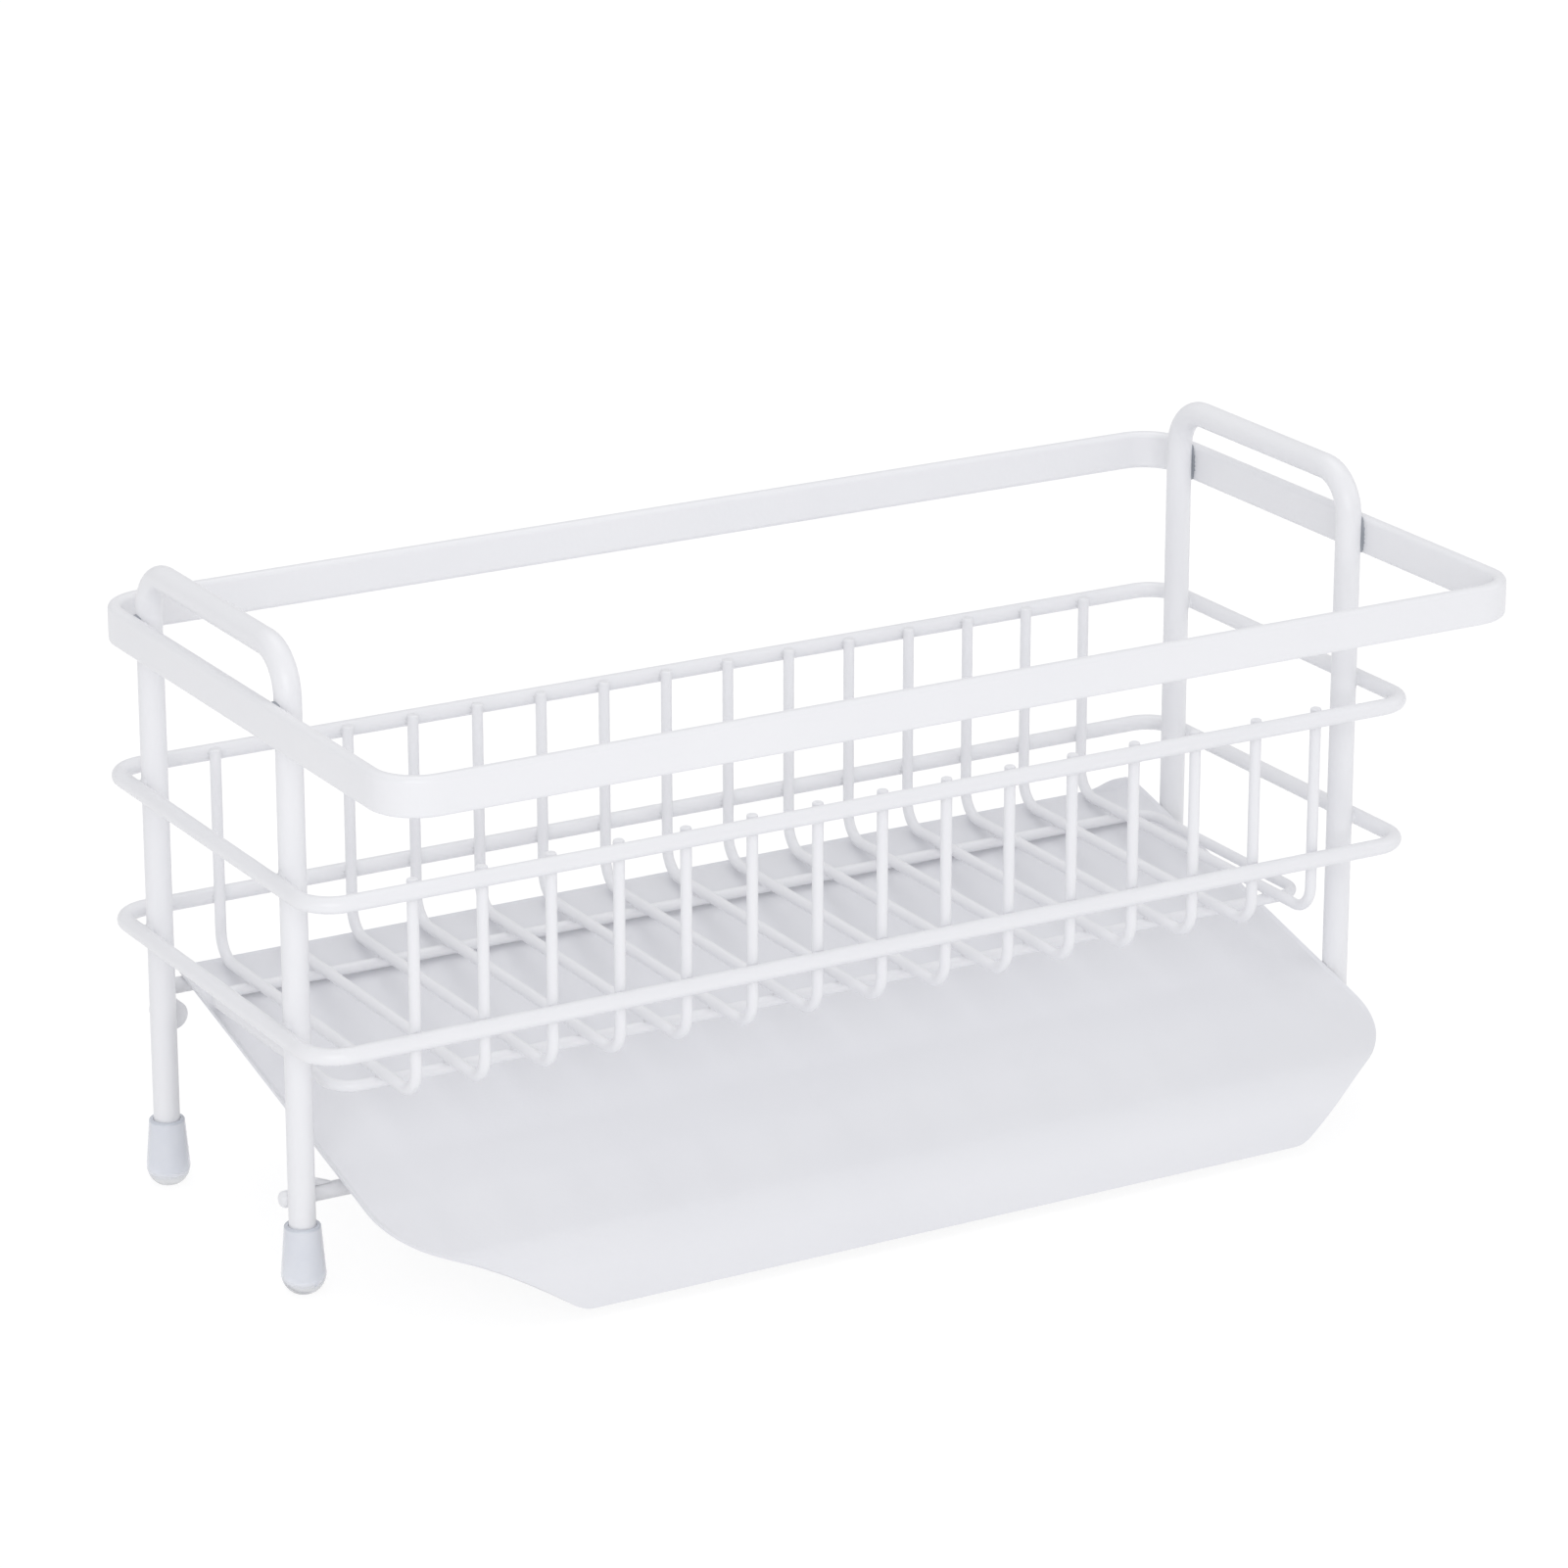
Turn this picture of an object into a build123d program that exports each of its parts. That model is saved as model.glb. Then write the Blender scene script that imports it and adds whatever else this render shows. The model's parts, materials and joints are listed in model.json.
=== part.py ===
from build123d import *
from math import cos, radians, sin, tan
import os

os.makedirs("parts", exist_ok=True)

# Kitchen sink caddy of white coated wire: two leg frames carry a flat top rail,
# a wire basket and a sloping drip tray that slides on two cross rods.
# Millimetres. X runs along the caddy, -Y is the sink side, +Z is up, and the
# origin is on the worktop, under the middle of the top rail.

# Leg frames: round bar bent to an inverted U, one at each end
leg_bar_diameter = 6.0
leg_spacing = 272.0          # between the two frames, centre to centre
leg_depth = 71.0             # between the legs of one frame, centre to centre
caddy_height = 148.5
leg_bend_radius = 10.0

# Soft foot caps pushed onto the leg ends
foot_height = 15.5
foot_floor = 3.0             # solid bottom under the bar's end
foot_mouth_diameter = 8.2
foot_belly_diameter = 10.0
foot_belly_height = 4.2
foot_sole_diameter = 5.6
foot_lip_round = 0.5
foot_bore_clearance = 0.05

# Top rail: flat bar on edge, also the cloth rail at the sink side
rail_height = 9.0
rail_thickness = 3.0
rail_depth = 150.0
rail_rear_reach = 18.0       # outer rear face behind the rear leg's centre
rail_drop = 17.5             # bar's centre below the top of the leg frames
rail_corner_radius = 11.5    # outer
rail_edge_round = 1.2

# Basket: two rings of round wire outside the legs
ring_wire_diameter = 3.8
ring_corner_radius = 8.0
ring_rear_reach = 14.2       # wire centre behind the rear leg's centre
ring_front_reach = 20.5      # wire centre before the front leg's centre
upper_ring_height = 95.5
lower_ring_rise = 7.8        # above the top of the grid wires' bends

# Basket: thin wires bent to a U, and the ring welded under them
grid_wire_diameter = 2.6
grid_wire_count = 15
grid_wire_pitch = 16.6
grid_bend_radius = 6.2
grid_floor_height = 47.2     # wire centre
grid_tip_reach = 1.7         # tip above the upper ring's centre
grid_tip_round = 0.5
floor_ring_side_reach = 10.1 # wire centre past the last grid wire
floor_ring_rear_inset = 4.0  # wire centre before the rear leg's centre
floor_ring_front_inset = 1.0 # wire centre behind the front leg's centre
floor_ring_corner_radius = 6.0

# Cross rods that carry the tray, and what is welded beside them
rod_diameter = 3.8
rod_end_round = 1.2
rear_rod_reach = 9.25        # rod's centre behind the rear leg's centre
rear_rod_end_inset = 1.5     # rod's end inside the leg's centre
spacer_radius = 3.4          # round piece between a rear leg and the rear rod
spacer_inset = 1.0           # its centre inside the leg's inner face
spacer_drop = 4.6            # its centre below the rod's centre
gusset_length = 6.5
gusset_height = 2.6
gusset_thickness = 2.0

# Drip tray: pressed sheet that slopes down to the sink and ends in a drip lip.
# It lies close to the right legs, as in the photograph.
tray_slope = 14.5            # degrees
tray_sheet = 0.7
tray_left_clearance = 5.7    # tray edge to left legs
tray_right_clearance = 0.3
tray_ring_clearance = 0.5    # sheet's upper face to the ring under the basket
tray_seat_clearance = 0.3    # sheet or runner to the rod it lies on
tray_rear_reach = 11.3       # rear edge behind the rear leg's centre
tray_flat_length = 119.0     # rear edge to the start of the drip lip
tray_lip_radius = 17.2
tray_lip_turn = 67.5         # degrees
tray_heel_gap = 5.2          # the cut corner leaves the side this far before the lip
tray_knee_reach = 10.0       # past the start of the lip, along the slope
tray_knee_inset = 22.6       # in from the side, on the cut corner
tray_toe_inset = 36.2        # in from the side, at the front edge
tray_rear_round = 2.0
tray_heel_round = 27.7
tray_knee_round = 25.0
tray_toe_round = 7.7
rim_rear_height = 0.3
rim_side_height = 0.4
rim_fade_length = 25.0       # the side rims run out over this length, to the lip
ear_width = 14.2             # raised tab on the right-hand rear corner
ear_height = 2.3
ear_inner_ramp = 7.8
ear_outer_ramp = 3.4
ear_round = 1.5

# Runners: angle strips spot welded under the tray, sliding on the front rod
runner_inset = 14.0          # web's outer face in from the tray's edge
runner_thickness = 1.2
runner_flange = 7.0
runner_height = 3.6
runner_length = 42.0
runner_front_gap = 9.0       # its front end before the start of the lip
runner_round = 1.5

# Welded pieces lie this far apart, so that no two solids share space
weld_gap = 0.05

# Derived places
leg_radius = leg_bar_diameter / 2
ring_radius = ring_wire_diameter / 2
grid_radius = grid_wire_diameter / 2
rod_radius = rod_diameter / 2
leg_x = leg_spacing / 2
rear_leg_y = rail_depth / 2 - rail_rear_reach
front_leg_y = rear_leg_y - leg_depth
leg_end_height = foot_floor + foot_bore_clearance
rail_centre_height = caddy_height - rail_drop
rail_length = leg_spacing + leg_bar_diameter + 2 * (rail_thickness + weld_gap)
ring_x = leg_x + leg_radius + ring_radius + weld_gap
ring_rear_y = rear_leg_y + ring_rear_reach
ring_front_y = front_leg_y - ring_front_reach
grid_rear_y = ring_rear_y - ring_radius - grid_radius - weld_gap
grid_front_y = ring_front_y + ring_radius + grid_radius + weld_gap
grid_tip_height = upper_ring_height + grid_tip_reach
grid_last_x = (grid_wire_count - 1) * grid_wire_pitch / 2
lower_ring_height = grid_floor_height + grid_bend_radius + lower_ring_rise
floor_ring_height = grid_floor_height - grid_wire_diameter - weld_gap
floor_ring_rear_y = rear_leg_y - floor_ring_rear_inset
rear_rod_y = rear_leg_y + rear_rod_reach
front_rod_y = front_leg_y + leg_radius + rod_radius + weld_gap
tray_half_width = leg_x - leg_radius - (tray_left_clearance + tray_right_clearance) / 2
tray_centre_x = (tray_left_clearance - tray_right_clearance) / 2
tray_rear_y = rear_leg_y + tray_rear_reach
slope = radians(tray_slope)

# The tray passes one clearance under the rear run of the basket's floor ring
tray_rear_height = (
    floor_ring_height
    + (tray_rear_y - floor_ring_rear_y) * tan(slope)
    - (grid_radius + tray_ring_clearance) / cos(slope)
)

# The tray's own plane: origin at the middle of its rear edge, on the upper
# face, local y up the slope and local z square to the sheet
tray_plane = Plane(
    origin=(tray_centre_x, tray_rear_y, tray_rear_height),
    x_dir=(1, 0, 0),
    z_dir=(0, -sin(slope), cos(slope)),
)
# The same origin seen from the side: local x up the slope, local y square to it
tray_side = Plane(
    origin=tray_plane.origin,
    x_dir=(0, cos(slope), sin(slope)),
    z_dir=(1, 0, 0),
)


def rod_height(y, drop):
    """Centre height of a rod at y that lies this far square under the tray's upper face."""
    return tray_rear_height + (y - tray_rear_y) * tan(slope) - drop / cos(slope)


# The rear rod lies one clearance under the sheet, the front rod one under the runners
rear_rod_drop = tray_sheet + tray_seat_clearance + rod_radius
front_rod_drop = rear_rod_drop + weld_gap + runner_height
rear_rod_height = rod_height(rear_rod_y, rear_rod_drop)
front_rod_height = rod_height(front_rod_y, front_rod_drop)

# The runners' rear ends and the drip edge, along the slope
runner_start = tray_flat_length - runner_front_gap - runner_length
tray_front_along = tray_flat_length + tray_lip_radius * sin(radians(tray_lip_turn))


def save(piece, name):
    """Name the piece and write it."""
    piece.label = name
    export_step(piece, f"parts/{name}.step")


def leg_frame(x):
    """Inverted U of round bar, standing in the plane at x."""
    top = caddy_height - leg_radius
    with BuildPart() as frame:
        with BuildLine(Plane.YZ.offset(x)) as line:
            FilletPolyline(
                (front_leg_y, leg_end_height),
                (front_leg_y, top),
                (rear_leg_y, top),
                (rear_leg_y, leg_end_height),
                radius=leg_bend_radius,
            )
        with BuildSketch(Plane(origin=line.wire() @ 0, z_dir=line.wire() % 0)):
            Circle(leg_radius)
        sweep(path=line.wire())
    return frame.part


def foot_cap(x, y):
    """Soft cap: tapered skirt, domed sole, bore for the leg's end."""
    with BuildPart(Plane((x, y, 0))) as cap:
        with BuildSketch(Plane((x, y, 0), x_dir=(1, 0, 0), z_dir=(0, -1, 0))):
            with BuildLine():
                sole = Line((0, 0), (foot_sole_diameter / 2, 0))
                belly_point = (foot_belly_diameter / 2, foot_belly_height)
                belly = TangentArc(belly_point, sole @ 1, tangent=(0, -1))
                skirt = Line(belly @ 0, (foot_mouth_diameter / 2, foot_height))
                mouth = Line(skirt @ 1, (0, foot_height))
                Line(mouth @ 1, sole @ 0)
            make_face()
        revolve(axis=Axis((x, y, 0), (0, 0, 1)))
        with Locations((0, 0, foot_floor)):
            Cylinder(
                leg_radius + foot_bore_clearance,
                foot_height,
                align=(Align.CENTER, Align.CENTER, Align.MIN),
                mode=Mode.SUBTRACT,
            )
        fillet(cap.edges().group_by(Axis.Z)[-1].sort_by(SortBy.RADIUS)[-1], foot_lip_round)
    return cap.part


def wire_ring(half_length, front_y, rear_y, height, diameter, corner_radius):
    """Closed rounded rectangle of round wire, lying flat."""
    with BuildPart() as ring:
        with BuildLine(Plane.XY.offset(height)) as line:
            FilletPolyline(
                (-half_length, front_y),
                (half_length, front_y),
                (half_length, rear_y),
                (-half_length, rear_y),
                radius=corner_radius,
                close=True,
            )
        with BuildSketch(Plane(origin=line.wire() @ 0, z_dir=line.wire() % 0)):
            Circle(diameter / 2)
        sweep(path=line.wire())
    return ring.part


def grid_wire(x):
    """U of thin wire across the basket: rear upright, floor, front upright."""
    with BuildPart() as wire:
        with BuildLine(Plane.YZ.offset(x)) as line:
            FilletPolyline(
                (grid_rear_y, grid_tip_height),
                (grid_rear_y, grid_floor_height),
                (grid_front_y, grid_floor_height),
                (grid_front_y, grid_tip_height),
                radius=grid_bend_radius,
            )
        with BuildSketch(Plane(origin=line.wire() @ 0, z_dir=line.wire() % 0)):
            Circle(grid_radius)
        sweep(path=line.wire())
        fillet(wire.edges().group_by(Axis.Z)[-1], grid_tip_round)
    return wire.part


def cross_rod(y, height, half_length):
    """Straight rod along X with softened ends."""
    with BuildPart() as rod:
        with BuildSketch(Plane.YZ):
            with Locations((y, height)):
                Circle(rod_radius)
        extrude(amount=half_length, both=True)
        ends = rod.edges().filter_by(GeomType.CIRCLE)
        fillet(ends, rod_end_round)
    return rod.part


def gusset(side):
    """Three-cornered plate in the angle between a front leg and the front rod."""
    corner_x = side * (leg_x - leg_radius - weld_gap)
    corner_z = front_rod_height + rod_radius + weld_gap
    with BuildPart() as plate:
        with BuildSketch(Plane.XZ.offset(-front_rod_y)):
            with BuildLine():
                Polyline(
                    (corner_x, corner_z),
                    (corner_x - side * gusset_length, corner_z),
                    (corner_x, corner_z + gusset_height),
                    close=True,
                )
            make_face()
        extrude(amount=gusset_thickness / 2, both=True)
    return plate.part


def rod_spacer(side):
    """Round piece behind a rear leg, hollowed at its end where the rear rod lies on it."""
    front_y = rear_leg_y + leg_radius + weld_gap
    centre_x = side * (leg_x - leg_radius - spacer_inset)
    with BuildPart() as spacer:
        with BuildSketch(Plane.XZ.offset(-front_y)):
            with Locations((centre_x, rear_rod_height - spacer_drop)):
                Circle(spacer_radius)
        extrude(amount=front_y - rear_rod_y)
        with BuildSketch(Plane.YZ):
            with Locations((rear_rod_y, rear_rod_height)):
                Circle(rod_radius + weld_gap)
        extrude(amount=rail_length, both=True, mode=Mode.SUBTRACT)
    return spacer.part


def tray_end_plane(along):
    """Plane across the tray's slope, looking down it: local x is X, local y is square up."""
    return Plane(
        origin=tray_plane.from_local_coords((0, -along, 0)),
        x_dir=(1, 0, 0),
        z_dir=-tray_plane.y_dir,
    )


def tray_outline(inset):
    """Sketch of the tray's outline, seen square to its slope."""
    heel = tray_half_width
    knee = tray_half_width - tray_knee_inset
    toe = tray_half_width - tray_toe_inset
    corners = (
        (heel, 0),
        (heel, tray_heel_gap - tray_flat_length),
        (knee, -tray_flat_length - tray_knee_reach),
        (toe, -tray_front_along),
    )
    rounds = (tray_rear_round, tray_heel_round, tray_knee_round, tray_toe_round)
    mirrored = [(-x, y) for x, y in reversed(corners)]
    with BuildSketch(tray_plane) as outline:
        with BuildLine():
            FilletPolyline(*corners, *mirrored, radius=[*rounds, *reversed(rounds)], close=True)
        make_face()
        if inset:
            offset(amount=-inset)
    return outline.sketch


def tray_runner(side):
    """Angle strip under the tray: flange against the sheet, web down to the front rod."""
    web_x = side * (tray_half_width - runner_inset)
    top = -tray_sheet - weld_gap
    with BuildPart() as runner:
        with BuildSketch(tray_end_plane(runner_start)):
            with BuildLine():
                Polyline(
                    (web_x, top),
                    (web_x, top - runner_height),
                    (web_x - side * runner_thickness, top - runner_height),
                    (web_x - side * runner_thickness, top - runner_thickness),
                    (web_x - side * runner_flange, top - runner_thickness),
                    (web_x - side * runner_flange, top),
                    close=True,
                )
            make_face()
        extrude(amount=runner_length)
        lower_ends = runner.edges().filter_by(Axis.X).group_by(Axis.Z)[0]
        fillet(lower_ends, runner_round)
    return runner.part


# Leg frames
save(leg_frame(-leg_x), "left_leg_frame")
save(leg_frame(leg_x), "right_leg_frame")

# Feet
for side_name, side in (("left", -1), ("right", 1)):
    save(foot_cap(side * leg_x, front_leg_y), f"front_{side_name}_foot")
    save(foot_cap(side * leg_x, rear_leg_y), f"rear_{side_name}_foot")

# Top rail
with BuildPart() as top_rail:
    with BuildSketch(Plane.XY.offset(rail_centre_height)):
        RectangleRounded(rail_length, rail_depth, rail_corner_radius)
        RectangleRounded(
            rail_length - 2 * rail_thickness,
            rail_depth - 2 * rail_thickness,
            rail_corner_radius - rail_thickness,
            mode=Mode.SUBTRACT,
        )
    extrude(amount=rail_height / 2, both=True)
    rims = top_rail.edges().group_by(Axis.Z)
    fillet(rims[0] + rims[-1], rail_edge_round)
save(top_rail.part, "top_rail")

# Basket rings
for ring_name, ring_height in (("upper", upper_ring_height), ("lower", lower_ring_height)):
    basket_ring = wire_ring(
        ring_x, ring_front_y, ring_rear_y, ring_height, ring_wire_diameter, ring_corner_radius
    )
    save(basket_ring, f"{ring_name}_basket_ring")

# Basket grid, numbered from the left
for index in range(grid_wire_count):
    save(grid_wire(index * grid_wire_pitch - grid_last_x), f"grid_wire_{index + 1:02d}")

# Ring under the basket floor
floor_ring = wire_ring(
    grid_last_x + floor_ring_side_reach,
    front_leg_y + floor_ring_front_inset,
    floor_ring_rear_y,
    floor_ring_height,
    grid_wire_diameter,
    floor_ring_corner_radius,
)
save(floor_ring, "floor_ring")

# Cross rods, gussets and spacers
save(cross_rod(front_rod_y, front_rod_height, leg_x + leg_radius), "front_cross_rod")
save(cross_rod(rear_rod_y, rear_rod_height, leg_x - rear_rod_end_inset), "rear_cross_rod")
for side_name, side in (("left", -1), ("right", 1)):
    save(gusset(side), f"{side_name}_rod_gusset")
    save(rod_spacer(side), f"{side_name}_rod_spacer")

# Drip tray
with BuildPart() as drip_tray:
    # Wedge in which the rim is left standing
    with BuildSketch(tray_side):
        with BuildLine():
            Polyline(
                (0, 0),
                (0, rim_rear_height),
                (rim_fade_length - tray_flat_length, rim_side_height),
                (-tray_flat_length, 0),
                close=True,
            )
        make_face()
    extrude(amount=tray_half_width, both=True)
    rim_inside = tray_outline(inset=tray_sheet)
    extrude(rim_inside, amount=rim_rear_height + rim_side_height, mode=Mode.SUBTRACT)
    # Raised tab on the rear rim
    with BuildSketch(tray_end_plane(0)):
        with BuildLine():
            tab = FilletPolyline(
                (tray_half_width - ear_width, 0),
                (tray_half_width - ear_width + ear_inner_ramp, ear_height),
                (tray_half_width - ear_outer_ramp, ear_height),
                (tray_half_width, 0),
                radius=ear_round,
            )
            Line(tab @ 1, tab @ 0)
        make_face()
    extrude(amount=tray_sheet)
    # Sheet, from the rear edge over the bend to the drip edge
    with BuildSketch(tray_side):
        with BuildLine():
            floor_line = Line((0, 0), (-tray_flat_length, 0))
            JernArc(floor_line @ 1, floor_line % 1, tray_lip_radius, tray_lip_turn)
            offset(amount=tray_sheet, side=Side.LEFT)
        make_face()
    extrude(amount=tray_half_width, both=True)
    # Corners cut off along the outline
    extrude(tray_outline(inset=0), amount=tray_half_width, both=True, mode=Mode.INTERSECT)
save(drip_tray.part, "drip_tray")

# Runners under the tray
for side_name, side in (("left", -1), ("right", 1)):
    save(tray_runner(side), f"{side_name}_tray_runner")
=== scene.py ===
import json
from math import cos, pi, radians, sin, sqrt, tan

import bmesh
import bpy
import numpy as np
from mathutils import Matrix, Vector


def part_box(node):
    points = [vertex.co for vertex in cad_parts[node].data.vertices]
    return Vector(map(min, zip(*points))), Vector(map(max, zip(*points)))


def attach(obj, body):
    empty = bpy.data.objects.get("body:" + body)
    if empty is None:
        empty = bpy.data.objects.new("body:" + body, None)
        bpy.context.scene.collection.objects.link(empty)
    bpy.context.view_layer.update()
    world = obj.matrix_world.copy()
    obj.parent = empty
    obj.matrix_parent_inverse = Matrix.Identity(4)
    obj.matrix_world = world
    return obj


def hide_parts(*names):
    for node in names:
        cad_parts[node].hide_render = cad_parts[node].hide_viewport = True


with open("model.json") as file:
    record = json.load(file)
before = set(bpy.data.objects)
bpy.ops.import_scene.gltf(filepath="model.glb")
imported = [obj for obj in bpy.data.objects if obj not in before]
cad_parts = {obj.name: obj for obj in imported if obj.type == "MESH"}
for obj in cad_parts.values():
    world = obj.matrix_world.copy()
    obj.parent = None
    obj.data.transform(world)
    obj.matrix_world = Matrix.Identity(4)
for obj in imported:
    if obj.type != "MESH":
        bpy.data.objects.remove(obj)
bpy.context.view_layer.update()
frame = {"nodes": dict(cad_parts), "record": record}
nodes = frame["nodes"]

MM = 0.001
LONG = 100.0 * MM           # half length of a bar that passes right through a weld

# Sizes read from the frame

upper_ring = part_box("upper_basket_ring")
lower_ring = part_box("lower_basket_ring")
floor_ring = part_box("floor_ring")
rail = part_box("top_rail")
front_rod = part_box("front_cross_rod")
rear_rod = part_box("rear_cross_rod")
left_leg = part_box("left_leg_frame")
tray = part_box("drip_tray")
grid_names = sorted(name for name in nodes if name.startswith("grid_wire"))
grid_boxes = [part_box(name) for name in grid_names]


def middle(box, axis):
    return (box[0][axis] + box[1][axis]) / 2


def thickness(box, axis):
    return box[1][axis] - box[0][axis]


leg_radius = thickness(left_leg, 0) / 2
leg_x = -middle(left_leg, 0)
rear_leg_y = left_leg[1][1] - leg_radius
front_leg_y = left_leg[0][1] + leg_radius
ring_radius = thickness(upper_ring, 2) / 2
grid_radius = thickness(grid_boxes[0], 0) / 2
floor_ring_radius = thickness(floor_ring, 2) / 2
rod_radius = thickness(front_rod, 2) / 2


# Materials


def new_material(name):
    """Empty node material; returns the material, its node tree and its output node."""
    material = bpy.data.materials.new(name)
    material.use_nodes = True
    tree = material.node_tree
    tree.nodes.clear()
    output = tree.nodes.new("ShaderNodeOutputMaterial")
    return material, tree, output


def add_node(tree, kind, **settings):
    node = tree.nodes.new(kind)
    for key, value in settings.items():
        setattr(node, key, value)
    return node


def noise(tree, coordinates, scale, detail=2.0, roughness=0.5):
    """Noise between 0 and 1, with its scale in cells per metre."""
    node = add_node(tree, "ShaderNodeTexNoise")
    node.inputs["Scale"].default_value = scale
    node.inputs["Detail"].default_value = detail
    node.inputs["Roughness"].default_value = roughness
    tree.links.new(coordinates, node.inputs["Vector"])
    return node.outputs["Fac"]


def ramp(tree, value, stops):
    """Colour ramp through (position, colour) stops."""
    node = add_node(tree, "ShaderNodeValToRGB")
    elements = node.color_ramp.elements
    while len(elements) < len(stops):
        elements.new(1.0)
    for element, (position, colour) in zip(elements, stops):
        element.position = position
        element.color = (*colour, 1.0)
    tree.links.new(value, node.inputs["Fac"])
    return node.outputs["Color"]


def remap(tree, value, from_low, from_high, to_low, to_high):
    """Clamped linear step from one range to another."""
    node = add_node(tree, "ShaderNodeMapRange")
    for key, number in (
        ("From Min", from_low), ("From Max", from_high), ("To Min", to_low), ("To Max", to_high)
    ):
        node.inputs[key].default_value = number
    tree.links.new(value, node.inputs["Value"])
    return node.outputs["Result"]


def bump(tree, height, distance, strength=1.0, under=None):
    """Bump of a depth in metres, laid over an earlier normal where one is given."""
    node = add_node(tree, "ShaderNodeBump")
    node.inputs["Strength"].default_value = strength
    node.inputs["Distance"].default_value = distance
    tree.links.new(height, node.inputs["Height"])
    if under:
        tree.links.new(under, node.inputs["Normal"])
    return node.outputs["Normal"]


PLASTIC_IOR = 1.5           # powder coat and vinyl alike
COAT_WEIGHT = 0.12
COAT_ROUGHNESS = 0.28
SATIN = (0.3, 0.42)         # range of roughness
DRIFT_SCALE = 22.0
LUMP_SCALE = 140.0
NIB_SCALE = 160.0
NIB_REACH = 0.09            # share of a cell that its nib takes
NIB_DEPTH = 0.02 * MM


def powder_coat(name, tints, peel_scale, peel_depth, lump_depth):
    """Satin powder coat: orange peel, a few coat nibs, and a faint drift of tint and gloss."""
    material, tree, output = new_material(name)
    shader = add_node(tree, "ShaderNodeBsdfPrincipled")
    shader.inputs["IOR"].default_value = PLASTIC_IOR
    shader.inputs["Coat Weight"].default_value = COAT_WEIGHT
    shader.inputs["Coat Roughness"].default_value = COAT_ROUGHNESS
    place = add_node(tree, "ShaderNodeTexCoord").outputs["Object"]
    drift = noise(tree, place, DRIFT_SCALE, 3.0)
    tint = ramp(tree, drift, ((0.3, tints[0]), (0.7, tints[1])))
    tree.links.new(tint, shader.inputs["Base Color"])
    mottle = noise(tree, place, peel_scale * 0.35, 4.0, 0.6)
    tree.links.new(remap(tree, mottle, 0.3, 0.7, *SATIN), shader.inputs["Roughness"])
    peel = noise(tree, place, peel_scale, 2.0, 0.45)
    nibs = add_node(tree, "ShaderNodeTexVoronoi", feature="F1")
    nibs.inputs["Scale"].default_value = NIB_SCALE
    tree.links.new(place, nibs.inputs["Vector"])
    nib_height = remap(tree, nibs.outputs["Distance"], 0.0, NIB_REACH, 1.0, 0.0)
    lumps = noise(tree, place, LUMP_SCALE, 2.0)
    normal = bump(tree, lumps, lump_depth)
    normal = bump(tree, peel, peel_depth, under=normal)
    normal = bump(tree, nib_height, NIB_DEPTH, 0.5, under=normal)
    tree.links.new(normal, shader.inputs["Normal"])
    tree.links.new(shader.outputs["BSDF"], output.inputs["Surface"])
    return material


wire_coat = powder_coat(
    "wire_coat", ((0.86, 0.862, 0.884), (0.878, 0.88, 0.898)), 900.0, 0.035 * MM, 0.03 * MM
)
sheet_coat = powder_coat(
    "sheet_coat", ((0.806, 0.81, 0.84), (0.826, 0.83, 0.856)), 1100.0, 0.03 * MM, 0.05 * MM
)
weld_coat = powder_coat(
    "weld_coat", ((0.85, 0.853, 0.876), (0.872, 0.875, 0.894)), 700.0, 0.06 * MM, 0.12 * MM
)
# Near-black coat for the rail seams: painted shade of the crevice between each leg and the rail.
painted_seam_shade = powder_coat(
    "painted_seam_shade", ((0.27, 0.29, 0.33), (0.42, 0.44, 0.48)), 700.0, 0.04 * MM, 0.06 * MM
)


VINYL_BODY = ((0.835, 0.86, 0.925), (0.875, 0.897, 0.95))
# Painted shade: the dark tint laid on the cap's mouth rim.
VINYL_MOUTH_SHADE = (0.42, 0.47, 0.56, 1.0)
# Painted highlight: the white tint laid on the cap's sole.
VINYL_SOLE_HIGHLIGHT = (0.98, 0.985, 1.0, 1.0)
HAZE_SCALE = 260.0
RIPPLE_SCALE = 300.0
RIPPLE_DEPTH = 0.015 * MM


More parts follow.
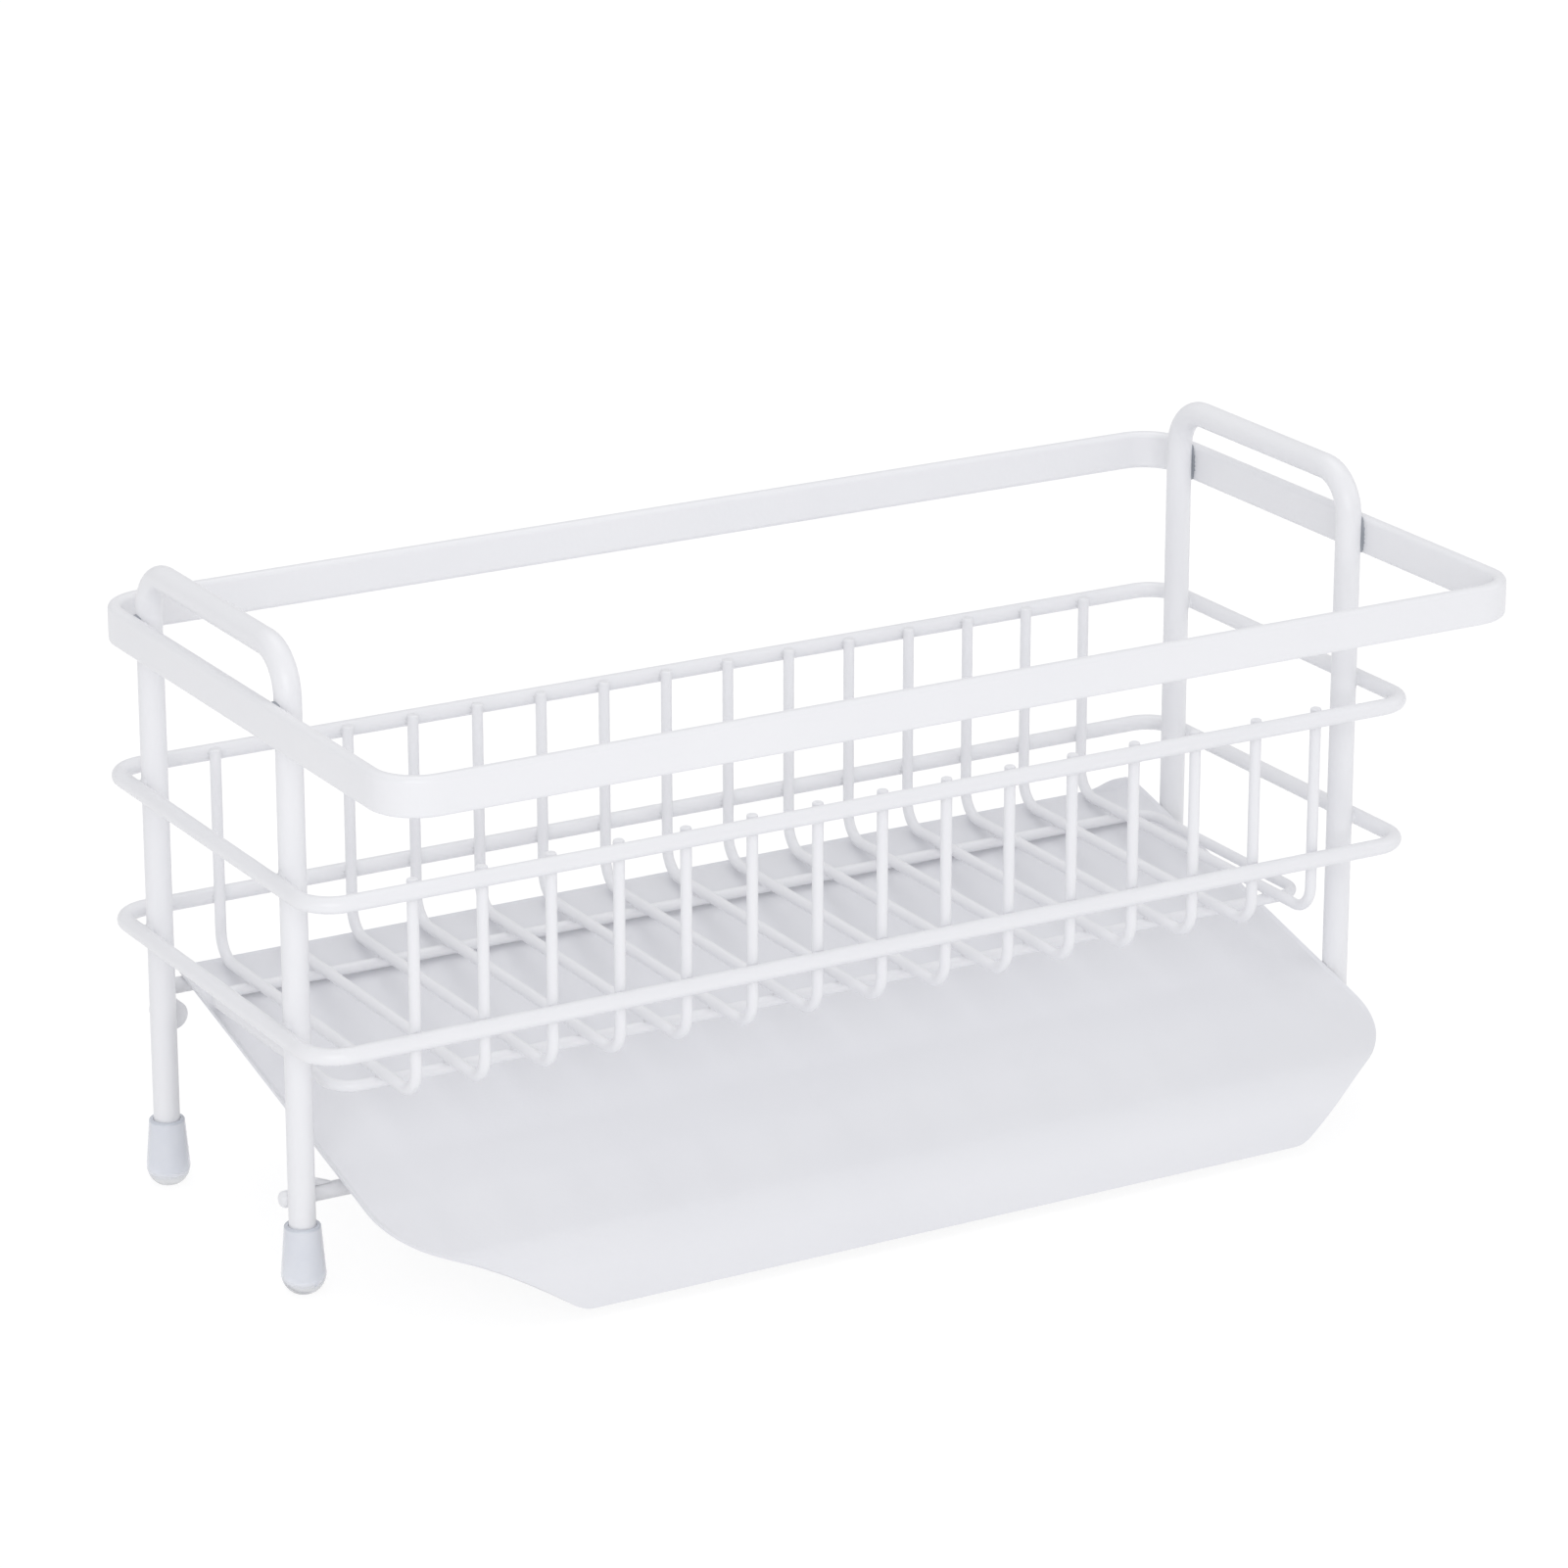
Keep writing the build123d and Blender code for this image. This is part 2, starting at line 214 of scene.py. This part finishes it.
def clear_vinyl():
    """Soft clear vinyl: bluish and hazy, clearer at the sole, with a painted highlight that whitens
    the sole and painted shade that darkens the mouth.
    """
    material, tree, output = new_material("clear_vinyl")
    shader = add_node(tree, "ShaderNodeBsdfPrincipled")
    shader.inputs["IOR"].default_value = PLASTIC_IOR
    shader.inputs["Coat Weight"].default_value = 0.5
    shader.inputs["Coat Roughness"].default_value = 0.06
    place = add_node(tree, "ShaderNodeTexCoord").outputs["Object"]
    axes = add_node(tree, "ShaderNodeSeparateXYZ")
    tree.links.new(place, axes.inputs[0])
    height = axes.outputs["Z"]
    clear = remap(tree, height, 2.2 * MM, 3.6 * MM, 0.85, 0.16)
    tree.links.new(clear, shader.inputs["Transmission Weight"])
    haze = noise(tree, place, HAZE_SCALE, 3.0)
    body = ramp(tree, haze, ((0.25, VINYL_BODY[0]), (0.75, VINYL_BODY[1])))
    # Painted shade on the mouth rim and painted highlight on the sole, both laid on as tint by
    # height.
    mouth = remap(tree, height, 14.8 * MM, 15.2 * MM, 0.0, 0.3)
    sole = remap(tree, height, 1.4 * MM, 2.6 * MM, 0.85, 0.0)
    for share, colour in ((mouth, VINYL_MOUTH_SHADE), (sole, VINYL_SOLE_HIGHLIGHT)):
        tint = add_node(tree, "ShaderNodeMix", data_type="RGBA")
        tree.links.new(share, tint.inputs["Factor"])
        tree.links.new(body, tint.inputs["A"])
        tint.inputs["B"].default_value = colour
        body = tint.outputs["Result"]
    tree.links.new(body, shader.inputs["Base Color"])
    tree.links.new(remap(tree, haze, 0.3, 0.7, 0.12, 0.18), shader.inputs["Roughness"])
    ripple = noise(tree, place, RIPPLE_SCALE, 2.0)
    tree.links.new(bump(tree, ripple, RIPPLE_DEPTH), shader.inputs["Normal"])
    tree.links.new(shader.outputs["BSDF"], output.inputs["Surface"])
    return material


vinyl = clear_vinyl()


def give(obj, material):
    """The object's one material."""
    obj.data.materials.clear()
    obj.data.materials.append(material)


def new_object(name, mesh, material, body):
    """Smooth-shaded piece that rides on a body and has a material slot."""
    obj = bpy.data.objects.new(name, mesh)
    bpy.context.scene.collection.objects.link(obj)
    give(obj, material)
    for polygon in mesh.polygons:
        polygon.use_smooth = True
    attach(obj, body)
    return obj


# CAD nodes that stay

coats = {"coated_wire": wire_coat, "coated_sheet": sheet_coat, "clear_foot": vinyl}
for part in frame["record"]["subparts"]:
    give(nodes[part["node"]], coats[part["material_slot"]])


# Weld fillets: where two wires touch, the weld and the coat fill the crotch between them


def cylinder_distance(points, centre, axis, radius, half_length):
    """Distance to a capped round bar along one of the row's axes."""
    offset = points - np.array(centre)
    along = np.abs(offset[:, axis]) - half_length
    offset[:, axis] = 0
    around = np.linalg.norm(offset, axis=1) - radius
    outside = np.linalg.norm(np.maximum(np.stack([along, around], 1), 0), axis=1)
    return np.minimum(np.maximum(along, around), 0) + outside


def block_distance(points, centre, half_sizes, rounding):
    """Distance to a block with rounded edges."""
    reach = np.abs(points - np.array(centre)) - (np.array(half_sizes) - rounding)
    outside = np.linalg.norm(np.maximum(reach, 0), axis=1)
    return np.minimum(reach.max(1), 0) + outside - rounding


def smooth_union(a, b, blend):
    """Distance to both solids, with a fillet where their surfaces run together."""
    mix = np.maximum(blend - np.abs(a - b), 0) / blend
    return np.minimum(a, b) - mix * mix * blend / 4


BURIED = 0.02 * MM          # a fillet's rim lies this far inside the wires
GRID_BLEND = 0.75 * MM      # widths over which two surfaces run into each other
FLOOR_RING_BLEND = 0.6 * MM
LEG_BLEND = 1.2 * MM
SEAM_BLEND = 1.1 * MM
GRID_REACH = 2.3 * MM       # how far a fillet spreads from the point of touch
FLOOR_RING_REACH = 2.0 * MM
LEG_REACH = 3.2 * MM
SEAM_REACH = 3.0 * MM
SEAM_STRETCH = (0.8, 1.0, 1.5)


def fillet_mesh(mesh, centre, first, second, blend, reach, stretch=(1, 1, 1), detail=4):
    """Adds a ball to the mesh, shrunk onto the blended surface of two touching solids."""
    halvings = 18
    ball = bmesh.new()
    bmesh.ops.create_icosphere(ball, subdivisions=detail, radius=1.0)
    rays = np.array([vertex.co for vertex in ball.verts]) * np.array(stretch)
    low = np.zeros(len(rays))
    high = np.full(len(rays), reach)
    for _ in range(halvings):
        half = (low + high) / 2
        points = np.array(centre) + rays * half[:, None]
        inside = smooth_union(first(points), second(points), blend) + BURIED < 0
        low = np.where(inside, half, low)
        high = np.where(inside, high, half)
    start = len(mesh.verts)
    for ray, distance in zip(rays, low):
        mesh.verts.new(Vector(centre) + Vector(ray * distance))
    mesh.verts.ensure_lookup_table()
    for face in ball.faces:
        mesh.faces.new([mesh.verts[start + vertex.index] for vertex in face.verts])
    ball.free()


def finish_mesh(name, mesh):
    data = bpy.data.meshes.new(name)
    mesh.to_mesh(data)
    mesh.free()
    return data


def bar(centre, axis, radius, half_length):
    """Distance function of a round bar."""
    return lambda points: cylinder_distance(points, centre, axis, radius, half_length)


def grid_welds():
    """Every grid wire to the front and rear of both basket rings, and to the ring under it."""
    mesh = bmesh.new()
    for box in grid_boxes:
        x = middle(box, 0)
        for ring in (upper_ring, lower_ring):
            z = middle(ring, 2)
            ring_rear_y = ring[1][1] - ring_radius
            ring_front_y = ring[0][1] + ring_radius
            grid_rear_y = box[1][1] - grid_radius
            grid_front_y = box[0][1] + grid_radius
            upright_half = box[1][2] - z if ring is upper_ring else LONG
            for ring_y, grid_y in ((ring_rear_y, grid_rear_y), (ring_front_y, grid_front_y)):
                side = 1 if ring_y > grid_y else -1
                touch_y = grid_y + side * grid_radius
                fillet_mesh(
                    mesh,
                    (x, touch_y, z),
                    bar((x, ring_y, z), 0, ring_radius, LONG),
                    bar((x, grid_y, z), 2, grid_radius, upright_half),
                    GRID_BLEND,
                    GRID_REACH,
                    detail=3,
                )
        wire_z = box[0][2] + grid_radius
        ring_z = middle(floor_ring, 2)
        for y in (floor_ring[0][1] + floor_ring_radius, floor_ring[1][1] - floor_ring_radius):
            fillet_mesh(
                mesh,
                (x, y, (wire_z + ring_z) / 2),
                bar((x, y, ring_z), 0, floor_ring_radius, LONG),
                bar((x, y, wire_z), 1, grid_radius, LONG),
                FLOOR_RING_BLEND,
                FLOOR_RING_REACH,
                detail=3,
            )
    data = finish_mesh("grid_welds", mesh)
    new_object("grid_welds", data, weld_coat, "rack")


def rail_shade_seams():
    """Narrow dark strips between the legs and the rail: painted shade of the crevice between them.
    """
    mesh = bmesh.new()
    rail_thickness = 3.0 * MM
    rail_rounding = 1.2 * MM
    rail_block = (rail_thickness / 2, LONG, thickness(rail, 2) / 2)
    z = middle(rail, 2)
    for side in (-1, 1):
        rail_x = side * (rail[1][0] - rail_thickness / 2)
        for y in (rear_leg_y, front_leg_y):
            fillet_mesh(
                mesh,
                (side * (leg_x + leg_radius), y, z),
                bar((side * leg_x, y, z), 2, leg_radius, LONG),
                lambda points: block_distance(points, (rail_x, y, z), rail_block, rail_rounding),
                SEAM_BLEND,
                SEAM_REACH,
                SEAM_STRETCH,
            )
    # These strips carry painted shade, not a coat of their own.
    data = finish_mesh("rail_shade_seams", mesh)
    new_object("rail_shade_seams", data, painted_seam_shade, "rack")


def leg_welds():
    """Legs to both rings and to the front cross rod."""
    mesh = bmesh.new()
    for side in (-1, 1):
        leg_face = side * (leg_x + leg_radius)
        ring_x = side * (upper_ring[1][0] - ring_radius)
        for y in (rear_leg_y, front_leg_y):
            leg = bar((side * leg_x, y, middle(rail, 2)), 2, leg_radius, LONG)
            for ring in (upper_ring, lower_ring):
                z = middle(ring, 2)
                fillet_mesh(
                    mesh,
                    (leg_face, y, z),
                    leg,
                    bar((ring_x, y, z), 1, ring_radius, LONG),
                    LEG_BLEND,
                    LEG_REACH,
                )
        rod_y = middle(front_rod, 1)
        rod_z = middle(front_rod, 2)
        fillet_mesh(
            mesh,
            (side * (leg_x - rod_radius / 2), front_leg_y + leg_radius, rod_z),
            bar((side * leg_x, front_leg_y, rod_z), 2, leg_radius, LONG),
            bar((0, rod_y, rod_z), 0, rod_radius, front_rod[1][0]),
            LEG_BLEND,
            LEG_REACH,
        )
    data = finish_mesh("leg_welds", mesh)
    new_object("leg_welds", data, weld_coat, "rack")


grid_welds()
rail_shade_seams()
leg_welds()


# Drip tray: one pressed sheet with a turned-up rim, cut corners and a drip lip. Its sizes are
# those of the part's own tray.

slope = radians(14.5)
sheet = 0.7 * MM
flat_length = 119.0 * MM
lip_radius = 17.2 * MM
lip_turn = radians(67.5)
heel_along = 113.8 * MM     # where the cut corner leaves the side
cut_angle = radians(55)     # between the tray's side and its cut corner
rear_round = 2.0 * MM
heel_round = 27.7 * MM
toe_round = 7.7 * MM
rim_rear = 0.3 * MM
rim_side = 0.4 * MM
rim_width = 1.2 * MM
rim_fade = 25.0 * MM        # the side rims run out over this length before the lip
rim_corner = 6.0 * MM       # the rear rim turns into the side rims over this length
ear_rise = 2.0 * MM         # the raised tab at the right end of the rear rim
ear_inner = 14.2 * MM       # its places, in from the side
ear_full = 6.4 * MM
ear_outer = 3.4 * MM
ear_start = 0.5 * MM        # its places, forward from the rear edge
ear_depth = 3.0 * MM
dish_depth = 0.12 * MM      # slight dishing of the pressed floor
dish_side = 20.0 * MM
dish_front = 30.0 * MM
edge_softness = 0.22 * MM
seat_clearance = 0.3 * MM
half_width = thickness(tray, 0) / 2
side_shift = middle(tray, 0)
blank_length = flat_length + lip_radius * lip_turn
toe_inset = (blank_length - heel_along) * tan(cut_angle)
heel_tangent = heel_round * tan(cut_angle / 2)
toe_tangent = toe_round * tan((pi / 2 - cut_angle) / 2)
heel_start = heel_along - heel_tangent
tray_rear_y = tray[1][1] - sheet * sin(slope)
rod_drop = (sheet + seat_clearance + rod_radius) / cos(slope)
tray_rear_z = middle(rear_rod, 2) + rod_drop + (tray_rear_y - middle(rear_rod, 1)) * tan(slope)


def smooth_step(value):
    """Rises smoothly from 0 to 1."""
    value = np.clip(value, 0, 1)
    return value * value * (3 - 2 * value)


def blank_half_width(along):
    """Half width of the flat blank at a distance from its rear edge."""
    if along < rear_round:
        return half_width - rear_round + sqrt(max(rear_round**2 - (rear_round - along) ** 2, 0))
    heel_end = heel_along + heel_tangent * cos(cut_angle)
    toe_start = blank_length - toe_tangent * cos(cut_angle)
    if along < heel_start:
        return half_width
    if along < heel_end:
        return half_width - heel_round + sqrt(max(heel_round**2 - (along - heel_start) ** 2, 0))
    if along < toe_start:
        return half_width - (along - heel_along) * tan(cut_angle)
    centre_along = blank_length - toe_round
    centre_x = half_width - toe_inset - toe_tangent
    return centre_x + sqrt(max(toe_round**2 - (along - centre_along) ** 2, 0))


def bent_place(x, along, height):
    """Point of the pressed tray for a point of the flat blank and a height above its face."""
    if along <= flat_length:
        square = height
        down = along
    else:
        turned = (along - flat_length) / lip_radius
        outer = lip_radius + height
        down = flat_length + outer * sin(turned)
        square = outer * cos(turned) - lip_radius
    y = tray_rear_y - down * cos(slope) - square * sin(slope)
    z = tray_rear_z - down * sin(slope) + square * cos(slope)
    return Vector((x + side_shift, y, z))


def rim_height(x, along, edge):
    """Height of the turned-up rim at a distance in from the sheet's edge."""
    side_fade = smooth_step((flat_length - along) / rim_fade)
    rear_share = smooth_step(1 - along / rim_corner)
    height = (rim_side + (rim_rear - rim_side) * rear_share) * side_fade
    from_side = half_width - x
    ear = smooth_step((ear_inner - from_side) / (ear_inner - ear_full))
    ear *= smooth_step(from_side / ear_outer) * smooth_step(1 - (along - ear_start) / ear_depth)
    return (height + ear_rise * ear) * smooth_step(1 - edge / rim_width)


def stations(marks, steps):
    """Places between marks, with a number of steps in each span."""
    places = [marks[0]]
    for start, end, count in zip(marks, marks[1:], steps):
        places += [start + (end - start) * (i + 1) / count for i in range(count)]
    return places


def soften_edges(obj, width, segments, least_angle):
    """Rounds the edges sharper than an angle in degrees."""
    soften = obj.modifiers.new("edges", "BEVEL")
    soften.width = width
    soften.segments = segments
    soften.limit_method = "ANGLE"
    soften.angle_limit = radians(least_angle)


def build_tray():
    """The blank as a net of rows from its rear edge to its drip edge, bent, then thickened."""
    rows = stations(
        [0, 0.15 * MM, 2.4 * MM, 8 * MM, heel_start, flat_length, blank_length - 6 * MM,
         blank_length - 0.4 * MM, blank_length],
        [2, 12, 5, 34, 16, 24, 10, 4],
    )
    from_edge = stations([0, rim_width * 1.3, 4 * MM, 15 * MM], [9, 3, 11])
    middle_steps = 48
    mesh = bmesh.new()
    grid = []
    for along in rows:
        width = blank_half_width(along)
        inner = max(width - from_edge[-1], 0)
        right = [width - step for step in from_edge[:-1]]
        centre = [inner * (1 - 2 * i / middle_steps) for i in range(middle_steps + 1)]
        row = []
        for x in right + centre + [-x for x in reversed(right)]:
            edge = min(width - abs(x), along)
            dish = smooth_step(edge / dish_side) * smooth_step((blank_length - along) / dish_front)
            height = rim_height(x, along, edge) - dish_depth * dish
            row.append(mesh.verts.new(bent_place(x, along, height)))
        grid.append(row)
    for upper, lower in zip(grid, grid[1:]):
        for i in range(len(upper) - 1):
            mesh.faces.new((upper[i], upper[i + 1], lower[i + 1], lower[i]))
    bmesh.ops.recalc_face_normals(mesh, faces=mesh.faces[:])
    if sum(face.normal.z for face in mesh.faces) < 0:
        bmesh.ops.reverse_faces(mesh, faces=mesh.faces[:])
    data = finish_mesh("pressed_tray", mesh)
    obj = new_object("pressed_tray", data, sheet_coat, "tray")
    thicken = obj.modifiers.new("sheet", "SOLIDIFY")
    thicken.thickness = sheet
    thicken.offset = -1
    soften_edges(obj, edge_softness, 3, 50)
    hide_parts("drip_tray")


build_tray()


# Foot caps

sole_radius = 2.8 * MM
belly_height = 4.2 * MM     # where a cap is widest
mouth_radius = 4.1 * MM
mouth_round = 0.5 * MM
bore_play = 0.05 * MM
bore_floor = 3.0 * MM
foot_turns = 72
TINY = 1e-7


def shares(count):
    """Equal steps up to 1, without the 0."""
    return [i / count for i in range(1, count + 1)]


def foot_profile(box):
    """Outline of a cap from the sole's middle, up the outside, and down the bore to its floor."""
    height = thickness(box, 2)
    belly = thickness(box, 0) / 2
    bore = leg_radius + bore_play
    points = [(0, 0), (sole_radius * 0.5, 0), (sole_radius, 0)]
    bulge = (sole_radius - belly) ** 2 + belly_height**2
    arc_radius = bulge / (2 * (belly - sole_radius))
    arc_angle = np.arcsin(belly_height / arc_radius)
    for share in shares(12):
        left = arc_angle - share * arc_angle
        points.append((belly - arc_radius * (1 - cos(left)), belly_height - arc_radius * sin(left)))
    wall_height = height - mouth_round - belly_height
    for share in shares(8):
        points.append((belly + (mouth_radius - belly) * share, belly_height + wall_height * share))
    for share in shares(5):
        angle = share * pi / 2
        drop = mouth_round * (1 - sin(angle))
        points.append((mouth_radius - mouth_round * (1 - cos(angle)), height - drop))
    inner_round = mouth_round / 2
    for share in [0, *shares(3)]:
        angle = share * pi / 2
        drop = inner_round * (1 - cos(angle))
        points.append((bore + inner_round * (1 - sin(angle)), height - drop))
    points.append((bore, (height + bore_floor) / 2))
    for share in [0, *shares(4)]:
        angle = share * pi / 2
        rise = mouth_round * (1 - sin(angle))
        points.append((bore - mouth_round * (1 - cos(angle)), bore_floor + rise))
    points.append((0, bore_floor))
    return points


def build_foot(node):
    """A cap turned from its outline. Where the radius is 0, the ring is a single point."""
    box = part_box(node)
    centre = Vector((middle(box, 0), middle(box, 1), 0))
    mesh = bmesh.new()
    rings = []
    for radius, height in foot_profile(box):
        ring = []
        for i in range(foot_turns if radius > TINY else 1):
            angle = 2 * pi * i / foot_turns
            place = Vector((radius * cos(angle), radius * sin(angle), height))
            ring.append(mesh.verts.new(centre + place))
        rings.append(ring)
    for lower, upper in zip(rings, rings[1:]):
        for i in range(foot_turns):
            j = (i + 1) % foot_turns
            places = ((lower, i), (lower, j), (upper, j), (upper, i))
            corners = [ring[k % len(ring)] for ring, k in places]
            mesh.faces.new(list(dict.fromkeys(corners)))
    bmesh.ops.recalc_face_normals(mesh, faces=mesh.faces[:])
    name = node.replace("foot", "cap")
    obj = new_object(name, finish_mesh(name, mesh), vinyl, "rack")
    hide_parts(node)


for foot in ("front_left_foot", "front_right_foot", "rear_left_foot", "rear_right_foot"):
    build_foot(foot)


# Gussets: small pressed plates with rolled edges

gusset_softness = 0.45 * MM


def build_gusset(node):
    """Three-cornered plate in the XZ plane, with its square corner at the leg."""
    low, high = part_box(node)
    corner_x, tip_x = (high[0], low[0]) if low[0] > 0 else (low[0], high[0])
    outline = [(corner_x, low[2]), (tip_x, low[2]), (corner_x, high[2])]
    mesh = bmesh.new()
    front = [mesh.verts.new((x, low[1], z)) for x, z in outline]
    back = [mesh.verts.new((x, high[1], z)) for x, z in outline]
    mesh.faces.new(front)
    mesh.faces.new(list(reversed(back)))
    for i in range(len(outline)):
        j = (i + 1) % len(outline)
        mesh.faces.new((front[i], back[i], back[j], front[j]))
    bmesh.ops.recalc_face_normals(mesh, faces=mesh.faces[:])
    name = node + "_plate"
    obj = new_object(name, finish_mesh(name, mesh), weld_coat, "rack")
    soften_edges(obj, gusset_softness, 4, 40)
    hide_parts(node)


for gusset in ("left_rod_gusset", "right_rod_gusset"):
    build_gusset(gusset)


# Studio

STAGE_HALF_WIDTH = 6.0      # metres
FLOOR_GLOW = 1.1            # what the camera sees of the floor, so that it shows as white
FLOOR_GLOW_SHARE = 0.8      # the rest keeps the shadow
ROOM_COLOUR = (0.98, 0.982, 1.0, 1.0)
ROOM_STRENGTH = 0.68


def either_of(tree, first, second):
    """1 where either value is 1."""
    node = add_node(tree, "ShaderNodeMath", operation="MAXIMUM")
    tree.links.new(first, node.inputs[0])
    tree.links.new(second, node.inputs[1])
    return node.outputs[0]


def build_stage():
    """Pale paper floor that shows almost white to the camera and keeps the shadow."""
    mesh = bmesh.new()
    half = STAGE_HALF_WIDTH
    corners = ((-half, -half), (half, -half), (half, half), (-half, half))
    mesh.faces.new([mesh.verts.new((x, y, 0)) for x, y in corners])
    data = finish_mesh("floor", mesh)
    floor = bpy.data.objects.new("floor", data)
    bpy.context.scene.collection.objects.link(floor)
    material, tree, output = new_material("floor_paper")
    diffuse = add_node(tree, "ShaderNodeBsdfDiffuse")
    place = add_node(tree, "ShaderNodeTexCoord").outputs["Object"]
    grain = noise(tree, place, 40.0, 3.0)
    paper = ramp(tree, grain, ((0.3, (0.93, 0.93, 0.935)), (0.7, (0.945, 0.945, 0.95))))
    tree.links.new(paper, diffuse.inputs["Color"])
    glow = add_node(tree, "ShaderNodeEmission")
    glow.inputs["Strength"].default_value = FLOOR_GLOW
    seen = add_node(tree, "ShaderNodeLightPath").outputs
    shows = either_of(tree, seen["Is Camera Ray"], seen["Is Glossy Ray"])
    shows = either_of(tree, shows, seen["Is Transmission Ray"])
    share = add_node(tree, "ShaderNodeMath", operation="MULTIPLY")
    share.inputs[1].default_value = FLOOR_GLOW_SHARE
    tree.links.new(shows, share.inputs[0])
    mix = add_node(tree, "ShaderNodeMixShader")
    tree.links.new(share.outputs[0], mix.inputs[0])
    tree.links.new(diffuse.outputs[0], mix.inputs[1])
    tree.links.new(glow.outputs[0], mix.inputs[2])
    tree.links.new(mix.outputs[0], output.inputs["Surface"])
    give(floor, material)


def build_world():
    """Even light from a pale room, seen as white by the camera."""
    world = bpy.data.worlds.new("studio")
    bpy.context.scene.world = world
    world.use_nodes = True
    tree = world.node_tree
    tree.nodes.clear()
    output = add_node(tree, "ShaderNodeOutputWorld")
    room = add_node(tree, "ShaderNodeBackground")
    room.inputs["Color"].default_value = ROOM_COLOUR
    room.inputs["Strength"].default_value = ROOM_STRENGTH
    white = add_node(tree, "ShaderNodeBackground")
    white.inputs["Strength"].default_value = 1.0
    seen = add_node(tree, "ShaderNodeLightPath").outputs
    shows = either_of(tree, seen["Is Camera Ray"], seen["Is Transmission Ray"])
    mix = add_node(tree, "ShaderNodeMixShader")
    tree.links.new(shows, mix.inputs[0])
    tree.links.new(room.outputs[0], mix.inputs[1])
    tree.links.new(white.outputs[0], mix.inputs[2])
    tree.links.new(mix.outputs[0], output.inputs["Surface"])


def area_lamp(name, place, aim, size, power):
    """Soft box at a place, turned to a point it lights. Metres and watts."""
    data = bpy.data.lights.new(name, "AREA")
    data.shape = "RECTANGLE"
    data.size, data.size_y = size
    data.energy = power
    lamp = bpy.data.objects.new(name, data)
    lamp.location = place
    lamp.rotation_euler = (Vector(aim) - Vector(place)).to_track_quat("-Z", "Y").to_euler()
    bpy.context.scene.collection.objects.link(lamp)


def build_camera():
    """The photograph's viewpoint, from a fit to the object's corners."""
    azimuth = radians(-29.93)
    elevation = radians(18.90)
    target = Vector((-7.2, 0, 90.4)) * MM
    distance = 1357.0 * MM
    back = Vector((sin(azimuth) * cos(elevation), -cos(azimuth) * cos(elevation), sin(elevation)))
    data = bpy.data.cameras.new("camera")
    data.sensor_width = 36.0
    data.lens = 138.3
    camera = bpy.data.objects.new("camera", data)
    camera.location = target + back * distance
    camera.rotation_euler = (-back).to_track_quat("-Z", "Y").to_euler()
    bpy.context.scene.collection.objects.link(camera)
    bpy.context.scene.camera = camera


build_stage()
build_world()
basket_middle = (0, 0, 0.07)
tray_middle = (0, 0, 0.05)
area_lamp("front_softbox", (-0.9, -1.5, 0.7), basket_middle, (1.4, 1.0), 9.0)
area_lamp("right_softbox", (1.5, -0.7, 0.8), basket_middle, (1.0, 0.9), 2.4)
area_lamp("top_softbox", (0.1, 0.4, 1.7), tray_middle, (1.2, 1.2), 5.0)
build_camera()

scene = bpy.context.scene
scene.view_settings.view_transform = "Standard"
